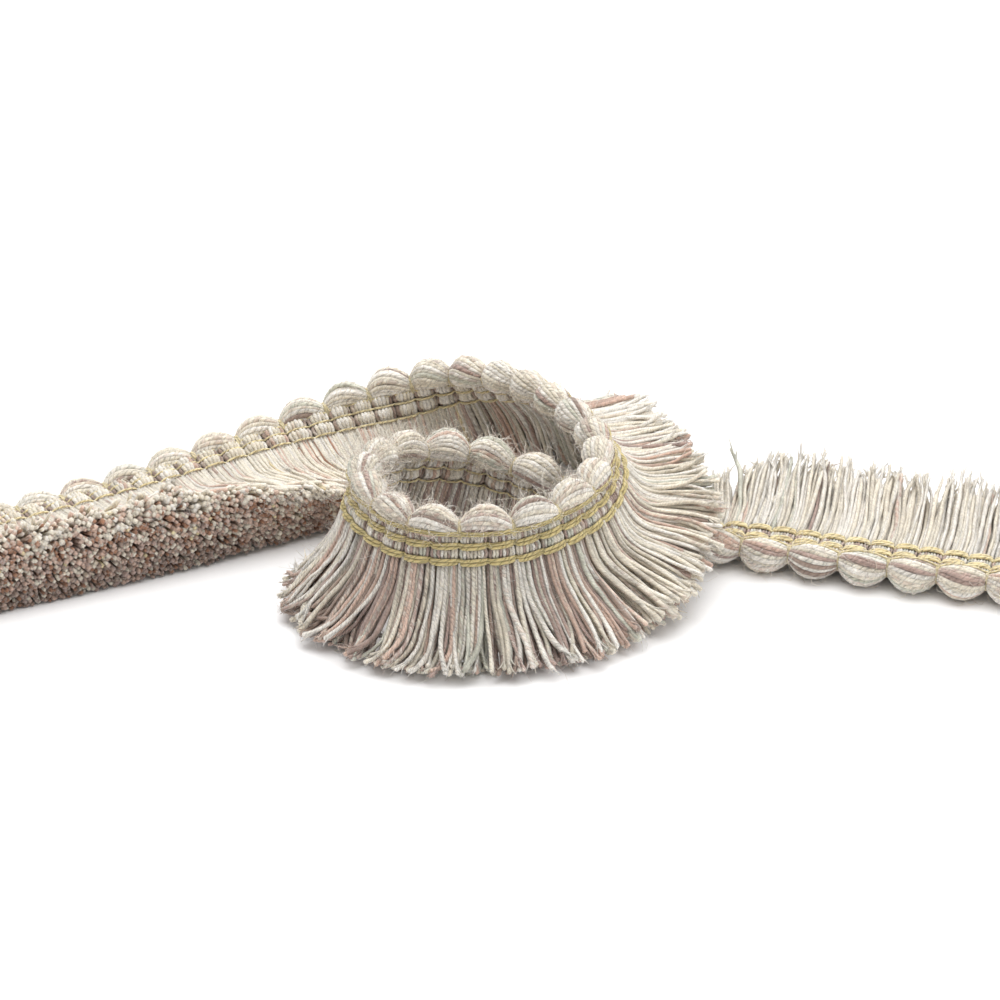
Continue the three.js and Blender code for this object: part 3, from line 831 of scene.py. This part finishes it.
def make_ground():
    """The woven ground of the heading, a narrow sheet along the whole trim."""
    steps, rows, width = SCALLOPS * 6, 6, 10.2
    bpy.ops.object.select_all(action="DESELECT")
    bpy.ops.mesh.primitive_grid_add(x_subdivisions=steps, y_subdivisions=rows, size=1)
    cloth = bpy.context.object
    cloth.name = cloth.data.name = "heading_cloth"
    coordinates = np.empty(len(cloth.data.vertices) * 3)
    cloth.data.vertices.foreach_get("co", coordinates)
    grid = coordinates.reshape(-1, 3) + 0.5
    scallop, across = grid[:, 0] * SCALLOPS, 0.2 + grid[:, 1] * width
    points = on_trim(scallop, across, np.zeros(len(grid)))
    cloth.data.vertices.foreach_set("co", (points * MM).ravel())
    run_map = cloth.data.uv_layers[0]
    run_map.name = "cloth_mm"
    loop_points = np.empty(len(cloth.data.loops), dtype=np.int32)
    cloth.data.loops.foreach_get("vertex_index", loop_points)
    flat = np.stack([scallop * PITCH, across], axis=-1)[loop_points]
    run_map.data.foreach_set("uv", flat.astype(np.float32).ravel())
    cloth.data.update()
    cloth.data.materials.append(ground_cloth())
    thickness = cloth.modifiers.new("thickness", "SOLIDIFY")
    thickness.thickness = 0.8 * MM
    thickness.offset = 0.0
    bpy.ops.object.modifier_apply(modifier="thickness")
    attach(cloth, "root")
    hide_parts("heading_tape")
    return cloth


def upright_yarns(side, rng):
    """The short yarns that cross the heading, pressed down by the stitching: side 1 is the face."""
    per_bundle, thick, swell, round_off = (8, 0.33, 0.75, 0.45) if side > 0 else (6, 0.5, 1.5, 0.85)
    bundle = np.repeat(np.arange(SCALLOPS * BUNDLES), per_bundle)
    within = (np.tile(np.arange(per_bundle), SCALLOPS * BUNDLES) + 0.5) / per_bundle
    scallop = bundle / BUNDLES + 0.006 + within * 0.488
    count = len(scallop)
    puff = np.sin(np.pi * within)[:, None]
    # Places across the heading, and how far the yarns come forward there between the rows of stitches
    across = np.array([0.7, 1.8, 2.5, 3.1, 3.9, 4.4, 5.0, 5.6, 6.2, 7.6])
    press = np.array([0.35, 0.75, 0.75, 0.1, 0.1, 0.7, 1.0, 0.7, 0.1, 0.0])
    proud = 0.75 + swell * press * (1 - round_off + round_off * puff) + 0.12 * puff
    shift = (within - 0.5)[:, None] * (-0.06) * (1 - press)
    place = scallop[:, None] + shift + rng.normal(0, 0.006, (count, len(across)))
    across = across + rng.normal(0, 0.05, (count, 1))
    paths = on_trim(place, across, side * (proud + rng.normal(0, 0.04, (count, 1))))
    radii = (thick + 0.05 * press) * np.ones((count, 1)) * rng.uniform(0.9, 1.1, (count, 1))
    if side > 0:
        light = dict(cream=0.36, sage=0.2, ivory=0.22, mauve=0.08, taupe=0.14)
        dark = dict(mauve=0.5, taupe=0.4, rose=0.1)
    else:
        light = dict(cream=0.5, ivory=0.42, rose=0.08)
        dark = dict(taupe=1.0)
    # Each bundle is pale in its middle, with darker yarns where it meets the next, which stand in for the
    # shade in the groove between bundles.
    shaded_border = (np.abs(within - 0.5) > 0.4) & (rng.random(count) < 0.75)
    colours = np.where(shaded_border[:, None], pick(rng, dark, count), pick(rng, light, count))
    start = rng.uniform(0, 40, count)
    plies = plied(rng, colours, light, 0.35) * IN_SHADE
    clear = rng.uniform(0.2, 0.9, count) * (1.0 if side > 0 else 0.3)
    return tube(paths, radii, 4, colours * IN_SHADE, start, plies, clear)


def stitches(scallop):
    """How high a stitch stands along the heading: 0 where it dips and 1 at its middle, two to a scallop."""
    return np.abs(np.sin(2 * np.pi * scallop)) ** 0.5


def stitched_row(scallop, row, radius, colour, start):
    """Two strands side by side along the heading's face, which dip at every stitch."""
    stitch = stitches(scallop)
    strands = []
    for offset in (-1, 1):
        # Every stitch starts a little higher than the one before it ends, so they overlap like scales.
        across = row + offset * radius * 0.98 * (0.62 + 0.38 * stitch) + 0.3 * (2 * scallop % 1 - 0.5)
        lift = 1.75 - 0.95 * (1 - stitch) + 0.06 * smooth_noise(scallop * 3 + 9 * offset, 23)
        strands.append(on_trim(scallop, across, lift))
    return tube(np.stack(strands), radius, 5, np.stack([colour, colour]), np.array([start, start + 0.9]))


def single_thread(scallop, across, proud, radius, colour, start):
    return tube(on_trim(scallop, across, proud)[None], radius, 4, colour[None], np.array([start]))


class FRINGE_OT_heading(bpy.types.Operator):
    """Make the heading: its ground, the short upright yarns and the rows of golden stitching"""

    bl_idname = "fringe_trim.heading"
    bl_label = "Stitched Heading"

    def execute(self, context):
        colours = context.scene.fringe_colours
        olive, gold = (np.array(c[:3]) for c in (colours.olive, colours.gold))

        def dyed_and_lit(scallop):
            """The olive cords are painted paler and more golden from the loop to the right end, a painted
            highlight for the stronger light there.
            """
            return olive + (gold - olive) * np.clip((scallop - 29) / 4, 0, 1)[:, None]

        rng = np.random.default_rng(77)
        cloth = make_ground()
        face, back = (
            yarn_object(name, [upright_yarns(side, rng)], soft_yarn())
            for name, side in (("heading_face_yarns", 1), ("heading_back_yarns", -1)))
        scallop = np.linspace(0, SCALLOPS, SCALLOPS * 16 + 1)
        radius = context.scene.fringe_sizes.cord_thickness / MM / 2
        rows = [stitched_row(scallop, row, radius, dyed_and_lit(scallop), start)
                for row, start in ((SECOND_ROW, 0.0), (THIRD_ROW, 1.3))]
        cords = yarn_object("heading_cords", rows, gold_cord())
        scallop = np.linspace(0, SCALLOPS, SCALLOPS * 12 + 1)
        full, stitch = fullness(scallop), stitches(scallop)
        threads = []
        for offset in (-0.24, 0.28):
            across = FIRST_ROW + offset - 0.2 * full
            proud = np.maximum(1.75, bead_face(full, across) + 0.15)
            threads.append(single_thread(scallop, across, proud, 0.28, dyed_and_lit(scallop), offset))
        for row in (FIRST_ROW + 0.5, SECOND_ROW, THIRD_ROW):
            proud = -(1.1 + 0.75 * stitch)
            threads.append(single_thread(scallop, row + 0.1 * stitch, proud, 0.27, gold, row))
        thin = yarn_object("heading_threads", threads, gold_cord())
        self.pinches(gold)
        return {"FINISHED"}

    def pinches(self, gold):
        """The golden thread wound three times round every pinch and caught in the heading."""
        turns = np.linspace(0, 3, 31)
        number = np.arange(1, SCALLOPS)[:, None]
        scallop = number + 0.022 * (turns - 1.5)
        angle = np.broadcast_to(turns * 2 * np.pi, scallop.shape)
        across = BEAD_LOWER_EDGE - 1.5 + np.cos(angle) * 1.95
        paths = on_trim(scallop, across, np.sin(angle) * 1.9)
        count = len(number)
        tubes = [tube(paths, 0.26, 4, np.tile(gold, (count, 1)), np.arange(count) * 1.7)]
        yarn_object("pinch_threads", tubes, gold_cord())


def hairs(roots, aim, length, curl, radius, colours, steps, rng):
    """Fine curly fibres from roots along aim, each turning at its own rate."""
    count = len(roots)
    heading = unit(aim)
    axis = unit(rng.normal(size=(count, 3)))
    change = unit(rng.normal(size=(count, 3)))
    point, path = roots, [roots]
    for _ in range(steps):
        axis = unit(axis + 0.5 * change)
        bend = rng.normal(curl, curl * 0.4, (count, 1))
        heading = unit(heading + np.cross(axis, heading) * bend)
        point = above_surface(point + heading * (length / steps)[:, None], 0.08)
        path.append(point)
    radii = radius * np.linspace(1, 0.6, steps + 1)
    return tube(np.stack(path, axis=1), radii, 3, colours, np.zeros(count), clear=0.0)


class FRINGE_OT_fuzz(bpy.types.Operator):
    """Make the loose fibres that stand off the beads"""

    bl_idname = "fringe_trim.fuzz"
    bl_label = "Loose Fibres"

    def execute(self, context):
        rng = np.random.default_rng(91)
        count = context.scene.fringe_sizes.bead_fibres * SCALLOPS
        # The beads are hairiest all round the loop.
        on_loop, (middle, width) = rng.random(count) < 0.55, HAIRIEST
        scallop = np.where(on_loop, rng.normal(middle, width, count) % SCALLOPS,
                           rng.uniform(0, SCALLOPS, count))
        angle = rng.uniform(0, 2 * np.pi, count)
        roots = bead_point(scallop, angle, 0.25)
        away = unit(roots - bead_point(scallop, angle, 2.0)) + 0.7 * rng.normal(size=(count, 3))
        table = dict(ivory=0.4, cream=0.3, mauve=0.15, taupe=0.15)
        length = rng.gamma(3.0, 0.85, count)
        tubes = [hairs(roots, away, length, 0.75, 0.048, pick(rng, table, count), 4, rng)]
        yarn_object("bead_fibres", tubes, loose_fibre())
        return {"FINISHED"}


class FRINGE_OT_studio(bpy.types.Operator):
    """Set up the pale floor, the soft light and the camera"""

    bl_idname = "fringe_trim.studio"
    bl_label = "Studio"

    def execute(self, context):
        bpy.ops.object.select_all(action="DESELECT")
        bpy.ops.mesh.primitive_plane_add(size=6)
        floor = bpy.context.object
        floor.name = floor.data.name = "studio_floor"
        floor.data.materials.append(studio_paper())
        world = bpy.data.worlds.new("studio_world")
        context.scene.world = world
        world.use_nodes = True
        background = world.node_tree.nodes["Background"]
        background.inputs["Color"].default_value = (*hex_to_linear("#FFFDFA"), 1)
        background.inputs["Strength"].default_value = 0.56
        # Each light with its place, its size in metres and its power in watts
        for name, spot, size, power in (
            ("overhead_softbox", (0.06, 0.36, 1.0), 1.4, 16.5),
            ("side_softbox", (0.7, -0.3, 0.6), 0.6, 1.3),
        ):
            light = bpy.data.lights.new(name, "AREA")
            light.size = size
            light.energy = power
            lamp = bpy.data.objects.new(name, light)
            lamp.location = spot
            x, y, z = spot
            lamp.rotation_euler = (math.atan2(math.hypot(x, y), z), 0, math.atan2(x, -y))
            context.scene.collection.objects.link(lamp)
        # The photograph's view: a long lens that looks down on the trim from in front.
        camera_data = bpy.data.cameras.new("photo_camera")
        camera_data.sensor_width = SENSOR
        camera_data.lens = LENS_TO_SENSOR * SENSOR
        camera = bpy.data.objects.new("photo_camera", camera_data)
        back, up = (CAMERA_DISTANCE * part(CAMERA_RISE) for part in (math.cos, math.sin))
        camera.location = (CAMERA_AIM[0], CAMERA_AIM[1] - back, up)
        camera.rotation_euler = (math.pi / 2 - CAMERA_RISE, 0, 0)
        context.scene.collection.objects.link(camera)
        context.scene.camera = camera
        context.scene.view_settings.view_transform = "Standard"
        return {"FINISHED"}


def colour_property(name, description, value):
    return bpy.props.FloatVectorProperty(
        name=name, description=description, default=hex_to_linear(value), subtype="COLOR",
        size=3, min=0, max=1)


def length_property(name, description, value):
    return bpy.props.FloatProperty(name=name, description=description, default=value, unit="LENGTH")


def count_property(name, description, value):
    return bpy.props.IntProperty(name=name, description=description, default=value)


class FringeSizes(bpy.types.PropertyGroup):
    yarn_thickness: length_property("Fringe yarn", "Thickness of a fringe yarn", 0.00098)
    pile_thickness: length_property("Pile yarn", "Thickness of a yarn in the pile", 0.0007)
    bead_yarn_thickness: length_property("Bead yarn", "Thickness of a bead's yarn at its middle", 0.00134)
    cord_thickness: length_property("Heading cord", "Thickness of one strand of the stitching", 0.0008)
    yarns_in_a_row: count_property("Yarns in a row", "Fringe yarns side by side in one scallop", 14)
    pile_rows: count_property("Pile rows", "Layers of cut ends in the pile at the left end", 22)
    pile_yarns_in_a_row: count_property("Pile yarns in a row", "Cut ends side by side in one scallop", 16)
    yarns_in_a_bead: count_property("Yarns in a bead", "Yarns round a bead of the scallop edge", 20)
    bead_slant: bpy.props.FloatProperty(
        name="Bead slant", description="Turn of the yarns from one pinch to the next",
        default=math.radians(38), subtype="ANGLE")
    tip_bend: bpy.props.FloatProperty(
        name="Tip bend", description="How far the tips at the front left bend over, in degrees", default=34)
    stray_share: bpy.props.FloatProperty(
        name="Stray yarns", description="Share of the fringe yarns that stand out of line",
        default=0.09, subtype="FACTOR")
    bead_fibres: count_property("Loose fibres", "Loose fibres on each bead", 155)
    fringe_fibres: count_property("Fringe fibres", "Loose fibres on one scallop of fringe", 215)
    pile_fibres: count_property("Pile fibres", "Loose fibres on one scallop of pile", 170)


class FringeColours(bpy.types.PropertyGroup):
    cream: colour_property("Cream", "Cream yarn", "#F0E6D4")
    ivory: colour_property("Ivory", "Ivory yarn", "#FBF4E9")
    sage: colour_property("Sage", "Grey sage yarn", "#D6D5C6")
    taupe: colour_property("Taupe", "Taupe yarn", "#A89488")
    mauve: colour_property("Mauve", "Dusty mauve yarn", "#BBA399")
    rose: colour_property("Rose", "Pink clay yarn", "#D6B9A9")
    terracotta: colour_property("Terracotta", "Brown clay yarn", "#A67D65")
    gold: colour_property("Gold", "Golden thread", "#F3E1B4")
    olive: colour_property("Olive gold", "Cord of the heading", "#D8C792")


OPERATORS = (FRINGE_OT_beads, FRINGE_OT_heading, FRINGE_OT_fringe, FRINGE_OT_fuzz, FRINGE_OT_studio)


class FRINGE_PT_panel(bpy.types.Panel):
    bl_label = "Brush Fringe Trim"
    bl_idname = "FRINGE_PT_panel"
    bl_space_type = "VIEW_3D"
    bl_region_type = "UI"
    bl_category = "Fringe"

    def draw(self, context):
        for operator in OPERATORS:
            self.layout.operator(operator.bl_idname)
        for group in (context.scene.fringe_sizes, context.scene.fringe_colours):
            for name in group.__annotations__:
                self.layout.prop(group, name)


CLASSES = (FringeSizes, FringeColours, *OPERATORS, FRINGE_PT_panel)


def register():
    for item in CLASSES:
        bpy.utils.register_class(item)
    bpy.types.Scene.fringe_sizes = bpy.props.PointerProperty(type=FringeSizes)
    bpy.types.Scene.fringe_colours = bpy.props.PointerProperty(type=FringeColours)


def unregister():
    del bpy.types.Scene.fringe_colours
    del bpy.types.Scene.fringe_sizes
    for item in reversed(CLASSES):
        bpy.utils.unregister_class(item)


def main():
    register()
    bpy.ops.fringe_trim.studio()
    bpy.ops.fringe_trim.beads()
    bpy.ops.fringe_trim.heading()
    bpy.ops.fringe_trim.fringe()
    bpy.ops.fringe_trim.fuzz()


if __name__ == "__main__":
    main()
